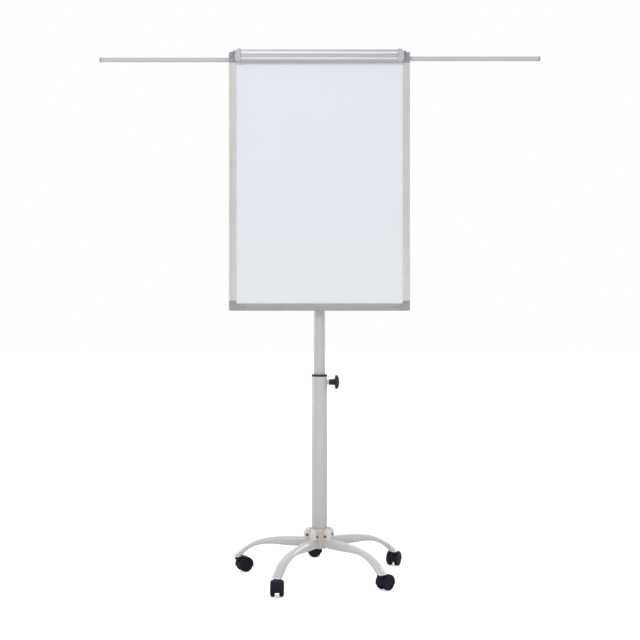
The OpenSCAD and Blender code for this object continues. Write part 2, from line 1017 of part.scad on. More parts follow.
module arm_outline(shrink) {
    r = side_arm_round;
    w = side_arm_d - 2 * shrink;
    h = side_arm_h - 2 * shrink;
    square([w, h - 2 * r], center = true);
    square([w - 2 * r, h], center = true);
    for (x = [-1, 1], y = [-1, 1])
        translate([x * (w / 2 - r), y * (h / 2 - r)])
            circle(r = r);
}

module side_arm(y) {
    from = side_arm_tip_x - side_arm_l;
    to = side_arm_tip_x - tip_l;
    translate([0, y, side_arm_z])
        along_x(from, to)
            difference() {
                arm_outline(0);
                square([side_arm_d, side_arm_h] - 2 * side_arm_wall * [1, 1],
                    center = true);
            }
}

module side_arm_tip(y) {
    from = side_arm_tip_x - tip_l;
    fit = side_arm_wall + spigot_gap;
    half_d = side_arm_d / 2 - fit;
    half_h = side_arm_h / 2 - fit;
    translate([0, y, side_arm_z]) {
        intersection() {
            along_x(from, side_arm_tip_x)
                arm_outline(0);
            translate([side_arm_tip_x - tip_dome_r, 0, 0])
                sphere(r = tip_dome_r);
        }
        box([from - tip_spigot_l, -half_d, -half_h], [from, half_d, half_h]);
    }
}

module side_arm_right() {
    color(paint_tube)
        side_arm(front_arm_y);
}

module side_arm_left() {
    color(paint_tube)
        mirror([1, 0, 0])
            side_arm(rear_arm_y);
}

module side_arm_tip_right() {
    color(cap_grey)
        side_arm_tip(front_arm_y);
}

module side_arm_tip_left() {
    color(cap_grey)
        mirror([1, 0, 0])
            side_arm_tip(rear_arm_y);
}

// ---- Pad clamp -------------------------------------------------------------

// Section of the clamp bar in (y, z): a round chamber about the hinge, a web that leaves a
// hollow channel in front, a lower rib and a foot that grips the pad. The chamber and the
// rib each have a flat face at the front.
module bar_section() {
    blend = bar_low_r * bar_foot_blend;
    difference() {
        union() {
            translate([bar_pivot_y, bar_pivot_z])
                circle(r = bar_round);
            translate([bar_pivot_y - bar_round, bar_pivot_z - bar_face_h])
                square([bar_round, bar_face_h]);
            translate([bar_low_y, bar_low_z])
                circle(r = bar_low_r);
            translate([bar_low_y - bar_low_r, bar_low_z])
                square([bar_low_r, bar_low_face_h]);
            translate([bar_web_y, bar_low_z])
                square([bar_web_t, bar_pivot_z - bar_low_z]);
            polygon([
                [bar_low_y - blend, bar_low_z - blend],
                [bar_low_y, bar_foot_z],
                [bar_foot_y, bar_foot_z],
                [bar_foot_y, bar_foot_z + bar_foot_t],
                [bar_low_y + blend, bar_low_z - blend]
            ]);
        }
        translate([bar_pivot_y, bar_pivot_z])
            circle(r = bar_bore);
        translate([bar_low_y, bar_low_z])
            circle(r = bar_low_bore);
    }
}

module clamp_bar() {
    color(bar_silver)
        along_x(-bar_w / 2, bar_w / 2)
            bar_section();
}

module bar_cap_section() {
    translate([bar_pivot_y, bar_pivot_z])
        circle(r = bar_round);
    intersection() {
        translate([bar_pivot_y, bar_pivot_z])
            circle(r = cap_front_r);
        translate([bar_pivot_y - cap_front_in - cap_front_r, bar_pivot_z - cap_front_r])
            square([cap_front_r, 2 * cap_front_r]);
    }
    translate([cap_low_y, cap_low_z])
        circle(r = cap_low_r);
    translate([cap_front_y, cap_low_z])
        square([cap_back_y - cap_front_y, bar_pivot_z - cap_low_z]);
}

// Front view of an end cap in (x, z): square against the bar and domed on its outer side.
module bar_cap_front() {
    top_z = bar_pivot_z + cap_front_r;
    bottom_z = cap_low_z - cap_low_r;
    dome_x = cap_out_x - cap_dome_r;
    dome_z = top_z - cap_dome_r;
    chin_x = cap_out_x - cap_chin_r;
    chin_z = bottom_z + cap_chin_r;
    translate([cap_in_x - over, bottom_z])
        square([dome_x - cap_in_x + over, top_z - bottom_z]);
    translate([dome_x - over, chin_z])
        square([cap_dome_r + over, dome_z - chin_z]);
    translate([dome_x - over, bottom_z])
        square([chin_x - dome_x + over, cap_chin_r + over]);
    translate([dome_x, dome_z])
        circle(r = cap_dome_r);
    translate([chin_x, chin_z])
        circle(r = cap_chin_r);
}

module clamp_end_caps() {
    color(bar_silver)
        both_sides()
            difference() {
                union() {
                    intersection() {
                        along_x(cap_in_x, cap_out_x)
                            bar_cap_section();
                        translate([0, frame_front_y, 0])
                            rotate([90, 0, 0])
                                linear_extrude(height = 2 * frame_depth)
                                    bar_cap_front();
                    }
                    translate([0, bar_pivot_y, bar_pivot_z])
                        bar_x(bar_bore, cap_in_x - cap_spigot_l, cap_in_x + over);
                }
                translate([0, bar_pivot_y, bar_pivot_z])
                    bar_x(bar_pin_r + run_gap, pin_in_x - over, cap_out_x + over);
            }
}

module clamp_brackets() {
    color(cap_grey)
        both_sides() {
            translate([0, bar_pivot_y, bar_pivot_z]) {
                bar_x(bar_pin_r, pin_in_x, ear_in_x + over);
                bar_x(ear_r, ear_in_x, ear_in_x + ear_t);
            }
            box([ear_in_x, bar_pivot_y, bar_pivot_z - ear_r],
                [ear_in_x + ear_t, frame_front_y, ear_top_z]);
            box([ear_in_x, frame_front_y - ear_foot_t, bar_pivot_z - 2 * ear_r],
                [ear_foot_x, frame_front_y, ear_top_z]);
        }
}

// ---- Pad pegs --------------------------------------------------------------

// A peg that slides in the top rail's track: foot, neck, thumb flange and round peg.
module pad_peg() {
    track_y = frame_front_y + rail_skin + free_gap;
    color(black_steel)
        translate([peg_x, 0, peg_z]) {
            box([-peg_foot_w / 2, track_y, -peg_foot_h / 2],
                [peg_foot_w / 2, track_y + peg_foot_d, peg_foot_h / 2]);
            bar_y(peg_neck_r, frame_front_y - over, track_y + over);
            bar_y(peg_flange_r, frame_front_y - free_gap - peg_flange_t,
                frame_front_y - free_gap);
            bar_y(peg_r, peg_tip_y, frame_front_y - over);
        }
}

module pad_peg_right() {
    pad_peg();
}

module pad_peg_left() {
    mirror([1, 0, 0])
        pad_peg();
}

// ---- Nodes -----------------------------------------------------------------

base_hub();
base_arm(1);  // base_arm_1
base_arm(2);  // base_arm_2
base_arm(3);  // base_arm_3
base_arm(4);  // base_arm_4
base_arm(5);  // base_arm_5
arm_end_plugs();
arm_bolts();
caster_hood(1);  // caster_hood_1
caster_hood(2);  // caster_hood_2
caster_hood(3);  // caster_hood_3
caster_hood(4);  // caster_hood_4
caster_hood(5);  // caster_hood_5
caster_stem(1);  // caster_stem_1
caster_stem(2);  // caster_stem_2
caster_stem(3);  // caster_stem_3
caster_stem(4);  // caster_stem_4
caster_stem(5);  // caster_stem_5
caster_axle(1);  // caster_axle_1
caster_axle(2);  // caster_axle_2
caster_axle(3);  // caster_axle_3
caster_axle(4);  // caster_axle_4
caster_axle(5);  // caster_axle_5
wheel(1, 1);  // wheel_1_left
wheel(2, 1);  // wheel_2_left
wheel(3, 1);  // wheel_3_left
wheel(4, 1);  // wheel_4_left
wheel(5, 1);  // wheel_5_left
wheel(1, -1);  // wheel_1_right
wheel(2, -1);  // wheel_2_right
wheel(3, -1);  // wheel_3_right
wheel(4, -1);  // wheel_4_right
wheel(5, -1);  // wheel_5_right
lower_tube();
column_collar();
upper_tube();
glide_bush();
friction_shoe();
clamp_screw();
clamp_knob();
tilt_head();
tilt_bolt();
board_bracket();
rail_left();
rail_right();
rail_top();
rail_bottom();
corner_caps();
writing_sheet();
backing_panel();
arm_guides();
side_arm_left();
side_arm_right();
side_arm_tip_left();
side_arm_tip_right();
clamp_bar();
clamp_end_caps();
clamp_brackets();
pad_peg_left();
pad_peg_right();
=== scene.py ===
"""Looks of the mobile flipchart easel: materials, finer pieces, floor, light and camera."""

import json
import math

import bmesh
import bpy
from mathutils import Matrix, Vector


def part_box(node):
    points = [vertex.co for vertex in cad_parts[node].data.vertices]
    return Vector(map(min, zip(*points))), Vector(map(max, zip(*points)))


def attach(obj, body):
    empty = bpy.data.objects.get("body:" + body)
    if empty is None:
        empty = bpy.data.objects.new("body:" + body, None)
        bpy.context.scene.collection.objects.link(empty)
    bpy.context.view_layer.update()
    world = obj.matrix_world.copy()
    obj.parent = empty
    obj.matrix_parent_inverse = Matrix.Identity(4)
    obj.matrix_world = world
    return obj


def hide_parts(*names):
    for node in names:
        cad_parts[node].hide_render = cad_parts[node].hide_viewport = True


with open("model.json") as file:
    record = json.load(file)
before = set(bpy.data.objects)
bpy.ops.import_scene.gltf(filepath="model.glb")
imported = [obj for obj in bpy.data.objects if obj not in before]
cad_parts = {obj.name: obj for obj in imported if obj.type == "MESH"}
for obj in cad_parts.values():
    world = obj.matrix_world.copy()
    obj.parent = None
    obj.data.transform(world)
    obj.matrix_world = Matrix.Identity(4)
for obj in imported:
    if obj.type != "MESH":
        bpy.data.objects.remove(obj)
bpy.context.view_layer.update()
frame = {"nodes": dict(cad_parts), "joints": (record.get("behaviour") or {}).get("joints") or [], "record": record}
NODES = frame["nodes"]
JOINTS = {joint["name"]: joint for joint in frame["joints"]}
CASTERS = range(1, 6)

# ---- Mesh helpers ----------------------------------------------------------


def mesh_object(name, bm, smooth_angle=35):
    """A new object from a bmesh, shaded smooth except over sharp edges."""
    bmesh.ops.recalc_face_normals(bm, faces=bm.faces)
    mesh = bpy.data.meshes.new(name)
    bm.to_mesh(mesh)
    bm.free()
    mesh.shade_smooth()
    mesh.set_sharp_from_angle(angle=math.radians(smooth_angle))
    obj = bpy.data.objects.new(name, mesh)
    bpy.context.scene.collection.objects.link(obj)
    return obj


def add_rings(bm, rings, cap_start=True, cap_end=True):
    """Skins a list of equal closed rings of points."""
    rows = [[bm.verts.new(p) for p in ring] for ring in rings]
    count = len(rows[0])
    for low, high in zip(rows, rows[1:]):
        for i in range(count):
            j = (i + 1) % count
            bm.faces.new((low[i], low[j], high[j], high[i]))
    if cap_start:
        bm.faces.new(rows[0])
    if cap_end:
        bm.faces.new(rows[-1])
    return rows


def add_lathe(bm, profile, place, sides=64, radius_at=None):
    """Turns (radius, height) points about the z axis of the matrix `place`."""
    radius_at = radius_at or (lambda radius, height, angle: radius)
    rings = []
    for radius, height in profile:
        ring = []
        for i in range(sides):
            angle = 2 * math.pi * i / sides
            r = radius_at(radius, height, angle)
            ring.append(place @ Vector((r * math.cos(angle), r * math.sin(angle), height)))
        rings.append(ring)
    add_rings(bm, rings)


def axis_place(origin, axis, up=(0, 0, 1)):
    """A matrix whose z axis runs along `axis` from `origin`."""
    z = Vector(axis).normalized()
    x = Vector(up).cross(z)
    if x.length < 1e-6:
        x = Vector((1, 0, 0))
    x.normalize()
    turn = Matrix((x, z.cross(x), z)).transposed().to_4x4()
    return Matrix.Translation(Vector(origin)) @ turn


def arc(cx, cy, radius, start, end, steps):
    """Points on an arc, in degrees."""
    return [
        (
            cx + radius * math.cos(math.radians(start + (end - start) * k / steps)),
            cy + radius * math.sin(math.radians(start + (end - start) * k / steps)),
        )
        for k in range(steps + 1)
    ]


def inset(outline, amount):
    """A closed outline moved inwards by `amount` along its corner bisectors."""
    area = sum(
        a[0] * b[1] - b[0] * a[1] for a, b in zip(outline, outline[1:] + outline[:1])
    )
    side = 1 if area > 0 else -1
    moved = []
    for k, point in enumerate(outline):
        back, ahead = Vector(outline[k - 1]), Vector(outline[(k + 1) % len(outline)])
        here = Vector(point)
        d1, d2 = (here - back).normalized(), (ahead - here).normalized()
        n1, n2 = Vector((-d1.y, d1.x)) * side, Vector((-d2.y, d2.x)) * side
        mid = (n1 + n2).normalized()
        stretch = min(1.6, 1 / max(0.3, mid.dot(n1)))
        moved.append(tuple(here + mid * amount * stretch))
    return moved


def add_pillow(bm, outline, near, far, edge, to_point, both=True, steps=4):
    """Extrudes an outline from `near` to `far` with edges rounded by `edge`."""
    direction = 1 if far > near else -1
    rings = []
    if both:
        for k in range(steps + 1):
            a = math.pi / 2 * k / steps
            depth = near + direction * edge * (1 - math.cos(a))
            rings.append((inset(outline, edge * (1 - math.sin(a))), depth))
    else:
        rings.append((outline, near))
    for k in range(steps + 1):
        a = math.pi / 2 * k / steps
        depth = far - direction * edge * (1 - math.sin(a))
        rings.append((inset(outline, edge * (1 - math.cos(a))), depth))
    add_rings(bm, [[to_point(u, v, depth) for u, v in ring] for ring, depth in rings])


def cut_level(bm, height, keep_above):
    """Cuts a closed mesh at a level and caps it."""
    geom = bm.verts[:] + bm.edges[:] + bm.faces[:]
    bmesh.ops.bisect_plane(
        bm,
        geom=geom,
        plane_co=(0, 0, height),
        plane_no=(0, 0, 1),
        clear_inner=keep_above,
        clear_outer=not keep_above,
    )
    edges = [e for e in bm.edges if e.is_boundary]
    bmesh.ops.holes_fill(bm, edges=edges)


# ---- Material helpers ------------------------------------------------------


def linear(red, green, blue):
    """A linear colour from 0 to 255 screen values."""

    def channel(value):
        c = value / 255
        return c / 12.92 if c <= 0.04045 else ((c + 0.055) / 1.055) ** 2.4

    return (channel(red), channel(green), channel(blue), 1.0)


class Shader:
    """A Principled material with its texture nodes, in the part's own coordinates."""

    def __init__(self, name, roughness=0.5, metallic=0.0, coat=0.0, specular=0.5):
        self.material = bpy.data.materials.new(name)
        self.material.use_nodes = True
        self.tree = self.material.node_tree
        self.tree.nodes.clear()
        output = self.tree.nodes.new("ShaderNodeOutputMaterial")
        self.bsdf = self.tree.nodes.new("ShaderNodeBsdfPrincipled")
        self.link(self.bsdf.outputs["BSDF"], output.inputs["Surface"])
        self.bsdf.inputs["Metallic"].default_value = metallic
        self.bsdf.inputs["Roughness"].default_value = roughness
        self.bsdf.inputs["Specular IOR Level"].default_value = specular
        self.bsdf.inputs["Coat Weight"].default_value = coat
        self.bsdf.inputs["Coat Roughness"].default_value = 0.12
        self.coords = self.tree.nodes.new("ShaderNodeTexCoord").outputs["Object"]
        self.normal = None

    def link(self, out, into):
        self.tree.links.new(out, into)

    def mapped(self, scale):
        node = self.tree.nodes.new("ShaderNodeMapping")
        self.link(self.coords, node.inputs["Vector"])
        node.inputs["Scale"].default_value = scale
        return node.outputs["Vector"]

    def noise(self, scale, detail=3.0, stretch=(1, 1, 1), rough=0.55):
        node = self.tree.nodes.new("ShaderNodeTexNoise")
        self.link(self.mapped(stretch), node.inputs["Vector"])
        node.inputs["Scale"].default_value = scale
        node.inputs["Detail"].default_value = detail
        node.inputs["Roughness"].default_value = rough
        return node.outputs["Fac"]

    def spread(self, value, low, high, to_low, to_high):
        node = self.tree.nodes.new("ShaderNodeMapRange")
        node.interpolation_type = "SMOOTHSTEP"
        self.link(value, node.inputs["Value"])
        for key, number in (
            ("From Min", low),
            ("From Max", high),
            ("To Min", to_low),
            ("To Max", to_high),
        ):
            node.inputs[key].default_value = number
        return node.outputs["Result"]

    def band(self, value, low, high, soft):
        """1 between two values and 0 outside them."""
        node = self.tree.nodes.new("ShaderNodeMath")
        node.operation = "MULTIPLY"
        self.link(self.spread(value, low - soft, low + soft, 0.0, 1.0), node.inputs[0])
        self.link(self.spread(value, high - soft, high + soft, 1.0, 0.0), node.inputs[1])
        return node.outputs[0]

    def blend(self, factor, first, second):
        node = self.tree.nodes.new("ShaderNodeMix")
        node.data_type = "RGBA"
        self.link(factor, node.inputs["Factor"])
        for socket, colour in ((node.inputs[6], first), (node.inputs[7], second)):
            if isinstance(colour, tuple):
                socket.default_value = colour
            else:
                self.link(colour, socket)
        return node.outputs[2]

    def axis(self, index):
        node = self.tree.nodes.new("ShaderNodeSeparateXYZ")
        self.link(self.coords, node.inputs["Vector"])
        return node.outputs[index]

    def from_axis(self):
        """Distance from the column's axis."""
        node = self.tree.nodes.new("ShaderNodeVectorMath")
        node.operation = "LENGTH"
        self.link(self.mapped((1.0, 1.0, 0.0)), node.inputs[0])
        return node.outputs["Value"]

    def colour(self, out):
        self.link(out, self.bsdf.inputs["Base Color"])

    def roughness(self, out):
        self.link(out, self.bsdf.inputs["Roughness"])

    def bump(self, height, distance, strength=1.0):
        node = self.tree.nodes.new("ShaderNodeBump")
        node.inputs["Distance"].default_value = distance
        node.inputs["Strength"].default_value = strength
        self.link(height, node.inputs["Height"])
        if self.normal is not None:
            self.link(self.normal, node.inputs["Normal"])
        self.normal = node.outputs["Normal"]
        self.link(self.normal, self.bsdf.inputs["Normal"])


def shade(colour, factor):
    return tuple(c * factor for c in colour[:3]) + (1.0,)


# ---- Materials -------------------------------------------------------------

# How strongly the floor glows where the camera sees it, so that it shows as a pale sweep
FLOOR_GLOW = 0.55


def powder_coat(name, colour, rough, peel=900.0, coat=0.0, painted_shade_and_reflection=None):
    """Stoved paint: orange peel, faint tone drift, fine specks and scuffed gloss.

    The last argument gives a distance from the column and a colour: closer in, the paint takes that colour as
    painted shade and a painted reflection of the floor.
    """
    s = Shader(name, rough, coat=coat)
    drift = s.spread(s.noise(7.0, 4.0), 0.3, 0.7, 0.0, 1.0)
    base = s.blend(drift, shade(colour, 0.97), shade(colour, 1.02))
    # Painted shade and painted reflection: a brownish tint near the column
    if painted_shade_and_reflection:
        reach, tint = painted_shade_and_reflection
        base = s.blend(s.spread(s.from_axis(), reach - 0.002, reach, 1.0, 0.0), base, tint)
    specks = s.spread(s.noise(1400.0, 2.0), 0.68, 0.80, 0.0, 0.25)
    s.colour(s.blend(specks, base, shade(colour, 0.85)))
    scuffs = s.noise(38.0, 4.0, (1.0, 1.0, 0.35))
    s.roughness(s.spread(scuffs, 0.35, 0.75, rough * 0.93, rough * 1.15))
    s.bump(s.noise(peel, 2.0), 0.00002, 0.3)
    return s.material


def moulded_plastic(name, colour, rough, grain=2200.0, relief=0.00004, specular=0.45):
    """Injection moulded plastic with a spark-eroded grain and slight flow marks."""
    s = Shader(name, rough, specular=specular)
    flow = s.spread(s.noise(22.0, 3.0, (1.0, 1.0, 2.5)), 0.3, 0.7, 0.0, 1.0)
    s.colour(s.blend(flow, shade(colour, 0.90), shade(colour, 1.08)))
    s.roughness(s.spread(s.noise(140.0, 4.0), 0.3, 0.75, rough * 0.85, rough * 1.25))
    s.bump(s.noise(grain, 3.0, rough=0.7), relief, 0.6)
    return s.material


def extruded_aluminium(name, colour, along, rough=0.36, metallic=0.25):
    """Satin anodised extrusion: fine die lines along its length."""
    s = Shader(name, rough, metallic=metallic)
    stretch = [1.0, 1.0, 1.0]
    stretch[along] = 0.002
    lines = s.noise(1500.0, 3.0, tuple(stretch), rough=0.65)
    cloud = s.spread(s.noise(12.0, 3.0), 0.3, 0.7, 0.0, 1.0)
    base = s.blend(cloud, shade(colour, 0.965), shade(colour, 1.03))
    s.colour(s.blend(s.spread(lines, 0.35, 0.7, 0.0, 0.35), base, shade(colour, 0.88)))
    s.roughness(s.spread(lines, 0.3, 0.7, rough * 0.85, rough * 1.3))
    s.bump(lines, 0.000008, 0.3)
    return s.material


def extrusion_with_painted_highlights(name, satin, painted_highlight, faces):
    """A satin extrusion whose front faces, between pairs of heights, carry painted highlights: bright bands that
    stand in for the lamps' reflections.
    """
    s = Shader(name, 0.38, metallic=0.25)
    lines = s.noise(1500.0, 3.0, (0.002, 1.0, 1.0), rough=0.65)
    fine = s.spread(lines, 0.35, 0.7, 0.0, 1.0)
    colour = s.blend(fine, satin, shade(satin, 0.96))
    for low, high in faces:
        # Painted highlight: each front face between its two heights takes the bright colour
        colour = s.blend(s.band(s.axis(2), low, high, 0.0004), colour, painted_highlight)
    s.colour(colour)
    s.roughness(s.spread(lines, 0.3, 0.7, 0.28, 0.40))
    s.bump(lines, 0.000008, 0.3)
    return s.material


def plated_steel(name):
    """Zinc plated steel with fine turning marks and cloudy plating."""
    s = Shader(name, 0.3, metallic=1.0)
    colour = linear(188, 190, 194)
    cloud = s.spread(s.noise(160.0, 4.0), 0.3, 0.7, 0.0, 1.0)
    s.colour(s.blend(cloud, shade(colour, 0.85), shade(colour, 1.05)))
    s.roughness(s.spread(s.noise(420.0, 3.0), 0.3, 0.7, 0.22, 0.42))
    s.bump(s.noise(2600.0, 2.0, (1.0, 1.0, 4.0)), 0.00002, 0.4)
    return s.material


def white_enamel(name):
    """Baked writing enamel: glossy, faintly pebbled, with a haze of wiped marks."""
    s = Shader(name, 0.34, coat=0.1, specular=0.35)
    cool, pale = linear(233, 236, 245), linear(232, 237, 242)
    # Bluish higher up and slightly greener lower down: a painted reflection
    height = s.spread(s.axis(2), 1.15, 1.9, 0.0, 1.0)
    base = s.blend(height, pale, cool)
    haze = s.spread(s.noise(5.0, 5.0, (1.0, 1.0, 0.45)), 0.45, 0.8, 0.0, 0.10)
    s.colour(s.blend(haze, base, linear(218, 221, 229)))
    wipes = s.noise(16.0, 6.0, (1.0, 1.0, 0.16), rough=0.6)
    s.roughness(s.spread(wipes, 0.35, 0.75, 0.30, 0.38))
    s.bump(s.noise(380.0, 2.0), 0.00002, 0.2)
    return s.material


def faced_board(name):
    """Grey paper-faced board with short fibres."""
    s = Shader(name, 0.8, specular=0.25)
    colour = linear(188, 188, 188)
    fibres = s.noise(900.0, 4.0, (1.0, 1.0, 0.2), rough=0.7)
    base = s.blend(s.spread(fibres, 0.3, 0.7, 0.0, 1.0), shade(colour, 0.90), shade(colour, 1.04))
    flecks = s.spread(s.noise(260.0, 5.0), 0.66, 0.74, 0.0, 0.5)
    s.colour(s.blend(flecks, base, shade(colour, 0.72)))
    s.roughness(s.spread(fibres, 0.3, 0.7, 0.72, 0.9))
    s.bump(fibres, 0.00008, 0.5)
    return s.material


def pale_floor(name):
    """A plain pale studio floor with the faintest mottling."""
    s = Shader(name, 0.85, specular=0.1)
    path = s.tree.nodes.new("ShaderNodeLightPath")
    s.bsdf.inputs["Emission Color"].default_value = (1.0, 1.0, 1.0, 1.0)
    glow = s.spread(path.outputs["Is Camera Ray"], 0.0, 1.0, 0.0, FLOOR_GLOW)
    s.link(glow, s.bsdf.inputs["Emission Strength"])
    mottle = s.spread(s.noise(1.5, 3.0), 0.3, 0.7, 0.0, 1.0)
    s.colour(s.blend(mottle, linear(222, 222, 222), linear(225, 225, 225)))
    s.roughness(s.spread(s.noise(30.0, 3.0), 0.3, 0.7, 0.8, 0.9))
    return s.material


def bar_painted_highlight_faces():
    """Heights of the pad clamp's two flat front faces, which are painted bright as highlights."""
    pivot = JOINTS["clamp_hinge"]["pos_m"][2]
    return [(pivot - 0.0088, pivot - 0.0012), (pivot - 0.0295, pivot - 0.0235)]


MATERIALS = {
    "arm_paint": powder_coat("arm_paint", linear(200, 201, 198), 0.2, coat=0.7),
    # The hub's barrel near the column is tinted brownish: painted shade and a painted reflection of the floor
    "hub_paint": powder_coat(
        "hub_paint", linear(216, 213, 209), 0.18, coat=0.5, painted_shade_and_reflection=(0.039, linear(197, 184, 175))
    ),
    "tube_paint": powder_coat("tube_paint", linear(200, 198, 201), 0.36),
    "plug_plastic": moulded_plastic("plug_plastic", linear(226, 225, 232), 0.4),
    "black_plastic": moulded_plastic("black_plastic", linear(38, 37, 42), 0.5),
    "caster_plastic": moulded_plastic("caster_plastic", linear(30, 28, 42), 0.5, specular=0.12),
    "knob_plastic": moulded_plastic("knob_plastic", linear(44, 40, 56), 0.45, specular=0.25),
    "bright_steel": plated_steel("bright_steel"),
    "black_steel": powder_coat("black_steel", linear(46, 46, 49), 0.45, peel=1300.0),
    "rail_metal": extruded_aluminium("rail_metal", linear(207, 207, 206), 2),
    # A darker copy of the rail metal for the level rails: painted shade
    "rail_metal_level": extruded_aluminium("rail_metal_level", linear(164, 164, 169), 0),
    "cap_plastic": moulded_plastic("cap_plastic", linear(156, 156, 161), 0.5),
    "sheet_enamel": white_enamel("sheet_enamel"),
    "panel_board": faced_board("panel_board"),
    "guide_plastic": moulded_plastic("guide_plastic", linear(84, 84, 90), 0.5),
    # The clamp bar's flat front faces carry painted highlight bands
    "bar_metal": extrusion_with_painted_highlights(
        "bar_metal", linear(193, 194, 199), linear(232, 233, 237), bar_painted_highlight_faces()
    ),
    "bar_cap_plastic": moulded_plastic("bar_cap_plastic", linear(190, 191, 196), 0.36),
}


def dress(obj, key):
    """Gives a CAD node its material."""
    obj.data.materials.clear()
    obj.data.materials.append(MATERIALS[key])


def soften(obj, width, angle=40, segments=2):
    """Small rounded edges, added by modifiers over the CAD mesh."""
    weld = obj.modifiers.new("weld", "WELD")
    weld.merge_threshold = 2e-6
    bevel = obj.modifiers.new("edges", "BEVEL")
    bevel.width = width
    bevel.segments = segments
    bevel.limit_method = "ANGLE"
    bevel.angle_limit = math.radians(angle)
    bevel.harden_normals = True


SLOT_OF = {entry["node"]: entry["material_slot"] for entry in frame["record"]["subparts"]}


def dress_cad_nodes():
    """Every CAD node takes its slot's material; the level rails take a darker copy of the rail metal, as painted
    shade.
    """
    for name, obj in NODES.items():
        key = SLOT_OF[name]
        if name in ("rail_top", "rail_bottom"):
            key = "rail_metal_level"
        dress(obj, key)


# ---- Camera, floor and light -----------------------------------------------

CAMERA_DISTANCE = 4.037
CAMERA_HEIGHT = 1.0
CAMERA_LENS_MM = 57.94
CAMERA_OFFSET_X = 0.002
TENT_SIDE = 0.50
TENT_TOP = 0.80
TENT_BACK = 0.45


def add_camera():
    data = bpy.data.cameras.new("camera")
    data.sensor_width = 36.0
    data.lens = CAMERA_LENS_MM
    camera = bpy.data.objects.new("camera", data)
    camera.location = (CAMERA_OFFSET_X, -CAMERA_DISTANCE, CAMERA_HEIGHT)
    camera.rotation_euler = (math.radians(90), 0, 0)
    bpy.context.scene.collection.objects.link(camera)
    bpy.context.scene.camera = camera


def add_floor():
    bm = bmesh.new()
    bmesh.ops.create_grid(bm, x_segments=8, y_segments=8, size=30.0)
    floor = mesh_object("floor", bm)
    floor.data.materials.append(pale_floor("floor"))


def add_area(name, place, target, width, height, power):
    data = bpy.data.lights.new(name, "AREA")
    data.shape = "RECTANGLE"
    data.size = width
    data.size_y = height
    data.energy = power
    light = bpy.data.objects.new(name, data)
    light.location = place
    aim = Vector(target) - Vector(place)
    light.rotation_euler = aim.to_track_quat("-Z", "Y").to_euler()
    bpy.context.scene.collection.objects.link(light)


def add_world():
    """A light tent: pale sides, brighter overhead and behind; the backdrop is seen as white."""
    world = bpy.data.worlds.new("studio")
    world.use_nodes = True
    tree = world.node_tree
    tree.nodes.clear()
    coords = tree.nodes.new("ShaderNodeTexCoord")
    split = tree.nodes.new("ShaderNodeSeparateXYZ")
    tree.links.new(coords.outputs["Generated"], split.inputs["Vector"])
    rise = tree.nodes.new("ShaderNodeMapRange")
    rise.interpolation_type = "SMOOTHSTEP"
    tree.links.new(split.outputs["Z"], rise.inputs["Value"])
    for key, number in (
        ("From Min", 0.05),
        ("From Max", 0.9),
        ("To Min", TENT_SIDE),
        ("To Max", TENT_TOP),
    ):
        rise.inputs[key].default_value = number
    rear = tree.nodes.new("ShaderNodeMapRange")
    rear.interpolation_type = "SMOOTHSTEP"
    tree.links.new(split.outputs["Y"], rear.inputs["Value"])
    for key, number in (
        ("From Min", 0.0),
        ("From Max", 0.9),
        ("To Min", 0.0),
        ("To Max", TENT_BACK),
    ):
        rear.inputs[key].default_value = number
    total = tree.nodes.new("ShaderNodeMath")
    tree.links.new(rise.outputs["Result"], total.inputs[0])
    tree.links.new(rear.outputs["Result"], total.inputs[1])
    path = tree.nodes.new("ShaderNodeLightPath")
    seen = tree.nodes.new("ShaderNodeMix")
    tree.links.new(path.outputs["Is Camera Ray"], seen.inputs["Factor"])
    tree.links.new(total.outputs["Value"], seen.inputs["A"])
    seen.inputs["B"].default_value = 1.0
    background = tree.nodes.new("ShaderNodeBackground")
    tree.links.new(seen.outputs["Result"], background.inputs["Strength"])
    output = tree.nodes.new("ShaderNodeOutputWorld")
    tree.links.new(background.outputs[0], output.inputs["Surface"])
    background.inputs["Color"].default_value = (1.0, 1.0, 1.0, 1.0)
    bpy.context.scene.world = world


def add_studio():
    bpy.context.scene.view_settings.view_transform = "Standard"
    add_world()
    add_area("key", (-1.3, -3.7, 3.85), (0, 0, 1.2), 3.6, 0.7, 46)
    add_area("front", (0.3, -4.6, 0.5), (0, 0, 1.5), 2.6, 0.8, 25)
    add_area("fill", (2.8, -2.4, 1.6), (0, 0, 0.9), 1.6, 1.8, 3)
    add_area("rim_left", (-2.2, 1.2, 1.3), (0, 0, 0.5), 0.7, 1.5, 14)
    add_area("rim_right", (2.2, 1.2, 1.3), (0, 0, 0.5), 0.7, 1.5, 9)
    add_floor()
    add_camera()


# ---- Places taken from the frame -------------------------------------------


def arm_place(i):
    """Turns a piece drawn pointing ahead (towards -Y) to arm i."""
    x, y, _ = JOINTS[f"swivel_{i}"]["pos_m"]
    return Matrix.Rotation(math.atan2(x, -y), 4, "Z")


def caster_place(i):
    """Caster i's own frame: swivel axis at the origin, trail along +X, axle along Y."""
    swivel = Vector(JOINTS[f"swivel_{i}"]["pos_m"])
    axle = Vector(JOINTS[f"roll_{i}_left"]["pos_m"])
    trail = axle - swivel
    turn = Matrix.Rotation(math.atan2(trail.y, trail.x), 4, "Z")
    return Matrix.Translation((swivel.x, swivel.y, 0)) @ turn


AXLE_Z = JOINTS["roll_1_left"]["pos_m"][2]
TRAIL = (Vector(JOINTS["roll_1_left"]["pos_m"]) - Vector(JOINTS["swivel_1"]["pos_m"])).xy.length


def finish_piece(obj, material, body, *nodes, slot=None):
    """Gives a new piece its material and its body, and hides the nodes it replaces; `slot` is not used."""
    obj.data.materials.append(MATERIALS[material])
    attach(obj, body)
    if nodes:
        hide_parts(*nodes)
    return obj


# ---- Base arms -------------------------------------------------------------

# Distances from the column's axis where an arm's skin begins and ends, and where its
# middle has come down to the tip's level
ARM_START, ARM_END, ARM_TIP = 0.034, 0.352, 0.332
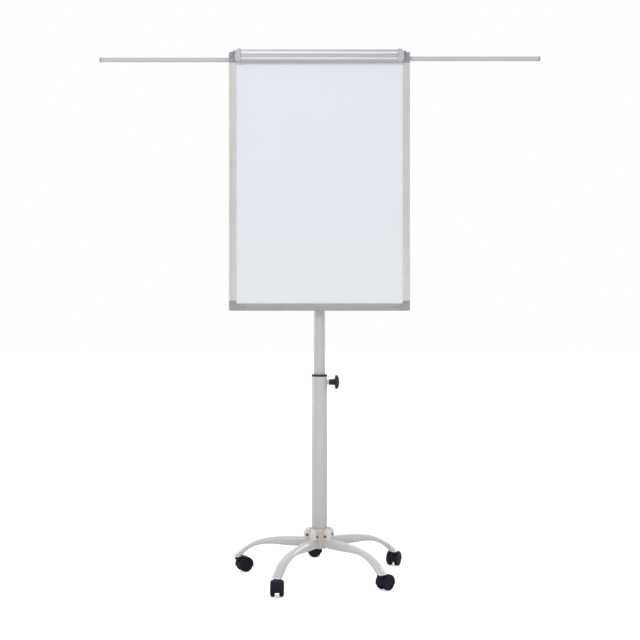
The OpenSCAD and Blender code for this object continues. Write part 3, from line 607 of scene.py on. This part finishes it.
# Distance at which an arm starts to fall, and how sharply it does
ARM_BEND, ARM_POWER = 0.140, 3.1
# Heights of an arm's middle at the hub and at its tip
ARM_MID_Z, ARM_TIP_Z = 0.131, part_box("arm_end_plugs")[0][2]
# Widths at the hub and at the tip
ARM_ROOT_W, ARM_TIP_W = 0.029, 0.0419
# Thickness at the hub and at the waist, and what the tip gains on the waist
ARM_ROOT_T, ARM_WAIST_T, ARM_SWELL_T = 0.038, 0.018, 0.004
# Distances between which an arm thins down to its waist
ARM_FULL_R, ARM_SLIM_R = 0.095, 0.282
PLUG_TOP_Z = ARM_TIP_Z + 0.005
ARM_SIDES, ARM_RINGS = 56, 44


def smoothstep(t):
    t = min(1.0, max(0.0, t))
    return t * t * (3 - 2 * t)


def arm_ring(r):
    """One ring of an arm's skin at distance r from the column."""
    span = ARM_TIP - ARM_BEND
    bent = max(0.0, (r - ARM_BEND) / span)
    fall = ARM_MID_Z - ARM_TIP_Z
    z = ARM_MID_Z - fall * bent**ARM_POWER
    dip = math.atan(fall * ARM_POWER * bent ** (ARM_POWER - 1) / span)
    width = ARM_ROOT_W + (ARM_TIP_W - ARM_ROOT_W) * smoothstep(bent)
    thick = (
        ARM_ROOT_T
        - (ARM_ROOT_T - ARM_WAIST_T) * smoothstep((r - ARM_FULL_R) / (ARM_SLIM_R - ARM_FULL_R))
        + ARM_SWELL_T * smoothstep((r - ARM_SLIM_R) / (ARM_TIP - ARM_SLIM_R))
    )
    ring = []
    for i in range(ARM_SIDES):
        a = 2 * math.pi * i / ARM_SIDES
        c, s = math.cos(a), math.sin(a)
        pinch = 1 - 0.22 * max(0.0, s) * max(0.0, 1 - bent)
        x = width / 2 * math.copysign(abs(c) ** 0.8, c) * pinch
        n = thick / 2 * math.copysign(abs(s) ** 0.8, s)
        ring.append(Vector((x, -r - n * math.sin(dip), z + n * math.cos(dip))))
    return ring


def arm_skin(place):
    """A whole arm's closed skin, plug included."""
    bm = bmesh.new()
    radii = [
        ARM_START + (ARM_END - ARM_START) * (k / ARM_RINGS) ** 0.8 for k in range(ARM_RINGS + 1)
    ]
    add_rings(bm, [[place @ p for p in arm_ring(r)] for r in radii])
    return bm


def round_edges(obj, width, angle=45, segments=3):
    """A bevel modifier for a new piece's sharp edges."""
    bevel = obj.modifiers.new("edges", "BEVEL")
    bevel.width = width
    bevel.segments = segments
    bevel.limit_method = "ANGLE"
    bevel.angle_limit = math.radians(angle)


def build_arms():
    plugs = bmesh.new()
    for i in CASTERS:
        place = arm_place(i)
        bm = arm_skin(place)
        cut_level(bm, PLUG_TOP_Z, True)
        arm = mesh_object(f"arm_casting_{i}", bm, 50)
        round_edges(arm, 0.0008)
        finish_piece(arm, "arm_paint", "base", f"base_arm_{i}")
        bm = arm_skin(place)
        cut_level(bm, PLUG_TOP_Z - 0.0002, False)
        cut_level(bm, ARM_TIP_Z, True)
        scratch = bpy.data.meshes.new("scratch")
        bm.to_mesh(scratch)
        bm.free()
        plugs.from_mesh(scratch)
        bpy.data.meshes.remove(scratch)
    piece = mesh_object("tip_plugs", plugs, 50)
    round_edges(piece, 0.0008)
    finish_piece(piece, "plug_plastic", "base", "arm_end_plugs")


# ---- Hub -------------------------------------------------------------------

# A lobe's centre, half width and half length, seen from above
LOBE_CENTRE_Y, LOBE_HALF = -0.040, (0.0150, 0.0240)
LOBE_LOW_Z = 0.146
# 1 would make an ellipsoid; less is squarer
LOBE_POWER = 2 / 2.5
# The lobes stop here, clear of the hub's bore
LOBE_INNER_Y = -0.0312
# Place of the bolt's head on a lobe's side
LOBE_SCREW = (0.0142, -0.046, 0.159)


def add_lobe(bm, place, top_z):
    """Half a superellipsoid: upright sides and a round shoulder."""
    rings = []
    sides, levels = 48, 14

    def power(v):
        return math.copysign(abs(v) ** LOBE_POWER, v)

    for k in range(levels + 1):
        rise = math.pi / 2 * min(0.985, k / levels)
        ring = []
        for i in range(sides):
            a = 2 * math.pi * i / sides
            x = LOBE_HALF[0] * power(math.cos(rise)) * power(math.cos(a))
            y = LOBE_HALF[1] * power(math.cos(rise)) * power(math.sin(a))
            z = LOBE_LOW_Z + (top_z - LOBE_LOW_Z) * power(math.sin(rise))
            ring.append(place @ Vector((x, min(LOBE_CENTRE_Y + y, LOBE_INNER_Y), z)))
        rings.append(ring)
    add_rings(bm, rings)


def build_hub():
    low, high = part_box("base_hub")
    bottom, top = low[2], high[2]
    barrel, lip, bore = 0.037, 0.034, 0.0302
    shoulder = top - 0.007
    bm = bmesh.new()
    profile = [(bore, bottom + 0.006), (bore, top - 0.0012)]
    profile += [(bore + 0.0008, top), (lip - 0.0014, top), (lip - 0.0003, top - 0.0006)]
    profile += [(lip, top - 0.002), (lip + 0.0004, shoulder + 0.0012)]
    profile += [(lip + 0.0014, shoulder + 0.0003), (barrel - 0.0012, shoulder - 0.0003)]
    profile += [(barrel - 0.0002, shoulder - 0.0014), (barrel, shoulder - 0.003)]
    profile += [(barrel, bottom + 0.003), (barrel - 0.0005, bottom + 0.0012)]
    profile += [(barrel - 0.0018, bottom + 0.0002), (barrel - 0.004, bottom), (0.004, bottom)]
    add_lathe(bm, profile, Matrix.Identity(4), 96)
    screws = bmesh.new()
    for i in CASTERS:
        place = arm_place(i)
        add_lobe(bm, place, top - 0.001)
        for side in (-1, 1):
            x, y, z = LOBE_SCREW
            spot = place @ Vector((side * x, y, z))
            outward = place.to_3x3() @ Vector((side, 0, 0))
            add_socket_screw(screws, axis_place(spot, outward), 0.0056, 0.0016)
    finish_piece(mesh_object("hub_casting", bm, 40), "hub_paint", "base", "base_hub")
    piece = mesh_object("lobe_screws", screws, 40)
    finish_piece(piece, "black_steel", "base", "arm_bolts")


# ---- Screws ----------------------------------------------------------------


def add_socket_screw(bm, place, radius, height, depth=None):
    """A low round screw head with a six-sided recess."""
    depth = depth or height * 0.8
    hexagon = radius * 0.52

    def radius_at(r, h, angle):
        if r > hexagon * 1.01:
            return r
        step = math.pi / 3
        folded = (angle + step / 2) % step - step / 2
        return r * math.cos(step / 2) / math.cos(folded)

    profile = [
        (radius * 0.98, -height),
        (radius, 0.0),
        (radius, height * 0.55),
        (radius * 0.93, height * 0.88),
        (radius * 0.82, height),
        (hexagon * 1.15, height),
        (hexagon, height * 0.94),
        (hexagon * 0.98, height - depth),
        (hexagon * 0.4, height - depth * 1.1),
    ]
    add_lathe(bm, profile, place, 36, radius_at)


# ---- Casters ---------------------------------------------------------------

# A wheel's inner and outer faces, from the caster's middle
WHEEL_IN, WHEEL_OUT = 0.0086, 0.0246
# Radius of the edge between the tread and the outer face
CROWN = 0.0065
# The hood's gap over the tread, and its wall
HOOD_GAP, HOOD_T = 0.0012, 0.0023
# Half the thickness of the web between the wheels
WEB_HALF = 0.0080
NECK_R = 0.0150
# Angles about the axle, in degrees, between which the hood covers the wheels
HOOD_SWEEP = (-14, 194)


def crown_points(radius, reach, shrink=0.0, steps=7):
    """From the tread out to the face: a quarter circle, in (radius, reach)."""
    return [
        (radius - CROWN * (1 - math.cos(a)) - shrink, reach - CROWN * (1 - math.sin(a)))
        for a in [math.pi / 2 * k / steps for k in range(steps + 1)]
    ]


def build_hood(i):
    place = caster_place(i)
    axle = Vector((TRAIL, 0, AXLE_Z))
    outer_r = AXLE_Z + HOOD_GAP + HOOD_T
    outer = crown_points(outer_r, WHEEL_OUT)
    inner = crown_points(outer_r - HOOD_T, WHEEL_OUT)
    half = [(outer_r, 0.0)] + outer
    rim = [(outer[-1][0] - HOOD_T * 0.5, WHEEL_OUT + 0.0002)]
    back = inner[::-1] + [(outer_r - HOOD_T, 0.0)]
    loop = [(r, y) for r, y in half] + rim + back
    loop += [(r, -y) for r, y in back[::-1][1:]] + [(r, -y) for r, y in rim]
    loop += [(r, -y) for r, y in half[::-1][:-1]]
    bm = bmesh.new()
    rings = []
    steps = 48
    for k in range(steps + 1):
        a = math.radians(HOOD_SWEEP[0] + (HOOD_SWEEP[1] - HOOD_SWEEP[0]) * k / steps)
        radial = Vector((math.cos(a), 0, math.sin(a)))
        rings.append([place @ (axle + radial * r + Vector((0, y, 0))) for r, y in loop])
    add_rings(bm, rings)
    web_r = outer_r - HOOD_T * 0.6
    drop = -0.012
    shelf = math.sin(math.radians(HOOD_SWEEP[0])) * outer_r
    web = arc(0, 0, web_r, HOOD_SWEEP[0], HOOD_SWEEP[1], 36)
    web += [(-0.012, shelf), (-0.011, drop + 0.002), (-0.009, drop)]
    web += [(0.009, drop), (0.011, drop + 0.002), (0.012, shelf)]
    add_pillow(
        bm, web, -WEB_HALF, WEB_HALF, 0.0006,
        lambda u, v, depth: place @ (axle + Vector((u, depth, v))),
    )
    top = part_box(f"caster_hood_{i}")[1][2]
    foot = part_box(f"caster_stem_{i}")[0][2] - 0.0005
    neck = [(0.0070, foot - 0.0006), (0.0080, foot), (0.0082, top - 0.0160)]
    neck += [(NECK_R - 0.001, top - 0.0105), (NECK_R, top - 0.0095), (NECK_R, top - 0.0022)]
    neck += [(NECK_R - 0.0006, top - 0.0008), (NECK_R - 0.0022, top), (0.0056, top)]
    add_lathe(bm, neck, place, 48)
    hood = mesh_object(f"hood_shell_{i}", bm, 40)
    finish_piece(hood, "caster_plastic", f"caster_{i}", f"caster_hood_{i}")


def wheel_profile():
    """A twin wheel's half: tread, parting groove, domed face, dish and centre cap."""
    r, near, far = AXLE_Z, WHEEL_IN, WHEEL_OUT
    profile = [(0.0032, near), (r - 0.0032, near), (r - 0.0008, near + 0.0005)]
    profile += [(r - 0.0001, near + 0.0014), (r, near + 0.0026), (r, far - CROWN - 0.0008)]
    profile += [(r - 0.0006, far - CROWN - 0.0003), (r - 0.0001, far - CROWN + 0.0003)]
    profile += crown_points(r, far)[1:]
    rim = r - CROWN
    profile += [(rim - 0.0012, far - 0.0001), (rim - 0.0022, far - 0.0009)]
    profile += [(rim - 0.0028, far - 0.0019), (rim - 0.0045, far - 0.0022)]
    profile += [(0.0072, far - 0.0020), (0.0066, far - 0.0012), (0.0058, far - 0.0008)]
    profile += [(0.0030, far - 0.0005), (0.0006, far - 0.0004)]
    return profile


def build_wheel(i, side):
    name = "left" if side > 0 else "right"
    joint = JOINTS[f"roll_{i}_{name}"]
    place = axis_place(joint["pos_m"], Vector(joint["axis"]) * side)
    bm = bmesh.new()
    add_lathe(bm, wheel_profile(), place, 72)
    wheel = mesh_object(f"tread_{i}_{name}", bm, 30)
    finish_piece(wheel, "caster_plastic", f"wheel_{i}_{name}", f"wheel_{i}_{name}")


def build_casters():
    for i in CASTERS:
        build_hood(i)
        for side in (-1, 1):
            build_wheel(i, side)


# ---- Knob ------------------------------------------------------------------

KNOB_FLUTES = 10


def build_knob():
    low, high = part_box("clamp_knob")
    near, far = low[0], high[0]
    radius = (high[2] - low[2]) / 2
    height = (high[2] + low[2]) / 2
    hub_r, disc_x = 0.0115, near + 0.0228

    def fluted(r, h, angle):
        grip = smoothstep((r - radius * 0.72) / (radius * 0.28))
        return r * (1 - 0.05 * grip * (0.5 + 0.5 * math.cos(KNOB_FLUTES * angle)) ** 2)

    profile = [(0.004, near), (hub_r - 0.0012, near), (hub_r - 0.0003, near + 0.0004)]
    profile += [(hub_r, near + 0.0014), (hub_r, disc_x - 0.0042), (hub_r + 0.0008, disc_x - 0.0022)]
    profile += [(hub_r + 0.0026, disc_x - 0.0006), (hub_r + 0.006, disc_x + 0.0002)]
    profile += [(radius * 0.80, disc_x + 0.0006), (radius - 0.0022, disc_x + 0.0014)]
    profile += [(radius - 0.0006, disc_x + 0.0026), (radius, disc_x + 0.0044)]
    rise = far - disc_x - 0.0055
    for k in range(1, 15):
        a = math.radians(86) * k / 14
        profile.append((radius * math.cos(a) ** 0.9, disc_x + 0.0055 + rise * math.sin(a)))
    bm = bmesh.new()
    add_lathe(bm, profile, axis_place((0, 0, height), (1, 0, 0)), 120, fluted)
    finish_piece(mesh_object("grip_knob", bm, 40), "knob_plastic", "clamp_knob", "clamp_knob")


# ---- Pad clamp ends and corner caps ----------------------------------------

# Radii of an end cap's outer edge on top, below, and front to back
CAP_DOME_R, CAP_CHIN_R, CAP_NOSE_R = 0.020, 0.014, 0.008


def rounding(x, start, radius):
    """How far a rounded edge of this radius has dropped at x, having begun at `start`."""
    u = min(1.0, max(0.0, (x - start) / radius))
    return radius * (1 - math.sqrt(1 - u * u))


def build_clamp_caps():
    """End caps of the pad clamp: square against the bar, domed on the outer side."""
    low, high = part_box("clamp_end_caps")
    near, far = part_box("clamp_bar")[1][0], high[0]
    bottom, top = low[2], high[2]
    pivot_y, pivot_z = JOINTS["clamp_hinge"]["pos_m"][1:]
    back_r, front_r, low_r = 0.0094, pivot_y - low[1], 0.0104
    low_c = (pivot_y - 0.0010, bottom + low_r)
    outline = arc(pivot_y, pivot_z, back_r, -20, 80, 8)
    outline += arc(pivot_y, pivot_z, front_r, 112, 180, 10)
    outline += arc(*low_c, low_r, 180, 300, 12)
    outline += [(pivot_y + 0.0058, bottom + 0.0060), (pivot_y + 0.0060, pivot_z - 0.008)]
    mid_y = pivot_y - 0.003
    steps = 16
    first = near + 0.0010
    rings = [(near, 0.0010)]
    rings += [
        (first + (far - first) * math.sin(math.pi / 2 * k / steps), 0.0) for k in range(steps + 1)
    ]
    bm = bmesh.new()
    for side in (-1, 1):
        skins = []
        for x, drop in rings:
            upper = top - rounding(x, far - CAP_DOME_R, CAP_DOME_R)
            lower = bottom + rounding(x, far - CAP_CHIN_R, CAP_CHIN_R)
            slim = 1 - rounding(x, far - CAP_NOSE_R, CAP_NOSE_R) / 0.0135
            ring = []
            for y, z in inset(outline, drop):
                share = (z - bottom) / (top - bottom)
                height = lower + (upper - lower) * share
                ring.append(Vector((side * x, mid_y + (y - mid_y) * slim, height)))
            skins.append(ring)
        add_rings(bm, skins)
    caps = mesh_object("clamp_ends", bm, 60)
    finish_piece(caps, "bar_cap_plastic", "clamp_bar", "clamp_end_caps")


# Widths of the rails seen from the front, and how far a corner cap runs along them
RAIL_W, TOP_RAIL_W, CAP_REACH = 0.0275, 0.0300, 0.0115


def cap_outline(cross_w):
    """The L of a corner cap from its outer corner, with a round inside corner."""
    fillet = 0.0065
    outline = arc(0.006, 0.006, 0.006, 180, 270, 6)
    outline += [(RAIL_W + CAP_REACH, 0.0), (RAIL_W + CAP_REACH, cross_w)]
    outline += arc(RAIL_W + fillet, cross_w + fillet, fillet, 270, 180, 6)
    outline += [(RAIL_W, cross_w + CAP_REACH), (0.0, cross_w + CAP_REACH)]
    return outline


def build_corner_caps():
    low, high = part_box("corner_caps")
    proud = 0.0004
    bm = bmesh.new()
    for side in (-1, 1):
        for level, up, cross_w in ((low[2], 1, RAIL_W), (high[2], -1, TOP_RAIL_W)):

            def corner(u, v, depth, side=side, level=level, up=up):
                return Vector((side * (high[0] - u), depth, level + up * v))

            add_pillow(bm, cap_outline(cross_w), high[1], low[1] - proud, 0.0014, corner, False)
            if up > 0:
                mid = cross_w / 2
                start = RAIL_W + CAP_REACH - 0.001
                tongue = [(start, mid - 0.0055), (start + 0.030, mid - 0.0018)]
                tongue += arc(start + 0.032, mid, 0.0016, -60, 60, 4)
                tongue += [(start + 0.030, mid + 0.0018), (start, mid + 0.0055)]
                add_pillow(bm, tongue, low[1] + 0.001, low[1] - proud, 0.0003, corner, False)
    piece = mesh_object("corner_mouldings", bm, 50)
    finish_piece(piece, "cap_plastic", "board", "corner_caps")


def build_board_screws():
    """Screws that hold the channel, the guides, the hinge brackets and the corners."""
    bm = bmesh.new()
    low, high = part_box("board_bracket")
    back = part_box("backing_panel")[1][1] + 0.003
    mid_z = (low[2] + high[2]) / 2
    for x in (-0.29, -0.17, -0.05, 0.05, 0.17, 0.29):
        for z in (mid_z - 0.022, mid_z + 0.022):
            add_socket_screw(bm, axis_place((x, back, z), (0, 1, 0)), 0.0042, 0.0020)
    caps_low, caps_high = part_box("corner_caps")
    bracket_low, bracket_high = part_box("clamp_brackets")
    foot_front = caps_low[1] - 0.0025
    for side in (-1, 1):
        for z in (caps_low[2] + 0.013, caps_high[2] - 0.030):
            spot = (side * (caps_high[0] - 0.014), caps_high[1], z)
            add_socket_screw(bm, axis_place(spot, (0, 1, 0)), 0.0036, 0.0014)
        spot = (side * (bracket_high[0] - 0.006), foot_front, bracket_low[2] + 0.0065)
        add_socket_screw(bm, axis_place(spot, (0, -1, 0)), 0.0026, 0.0012)
    piece = mesh_object("board_screws", bm, 40)
    finish_piece(piece, "bright_steel", "board")


def soften_cad_nodes():
    """Rounded edges for the CAD nodes that stay in view."""
    for name in ("lower_tube", "column_collar", "upper_tube", "arm_guides", "tilt_head"):
        soften(NODES[name], 0.0005)
    for name in ("rail_left", "rail_right", "rail_top", "rail_bottom", "board_bracket"):
        soften(NODES[name], 0.0003)
    for name in ("clamp_brackets", "tilt_bolt", "side_arm_tip_left", "side_arm_tip_right"):
        soften(NODES[name], 0.0005)
    for name in ("pad_peg_left", "pad_peg_right", "clamp_bar"):
        soften(NODES[name], 0.0002)


# ---- Build -----------------------------------------------------------------

add_studio()
dress_cad_nodes()
soften_cad_nodes()
build_arms()
build_hub()
build_casters()
build_knob()
build_clamp_caps()
build_corner_caps()
build_board_screws()
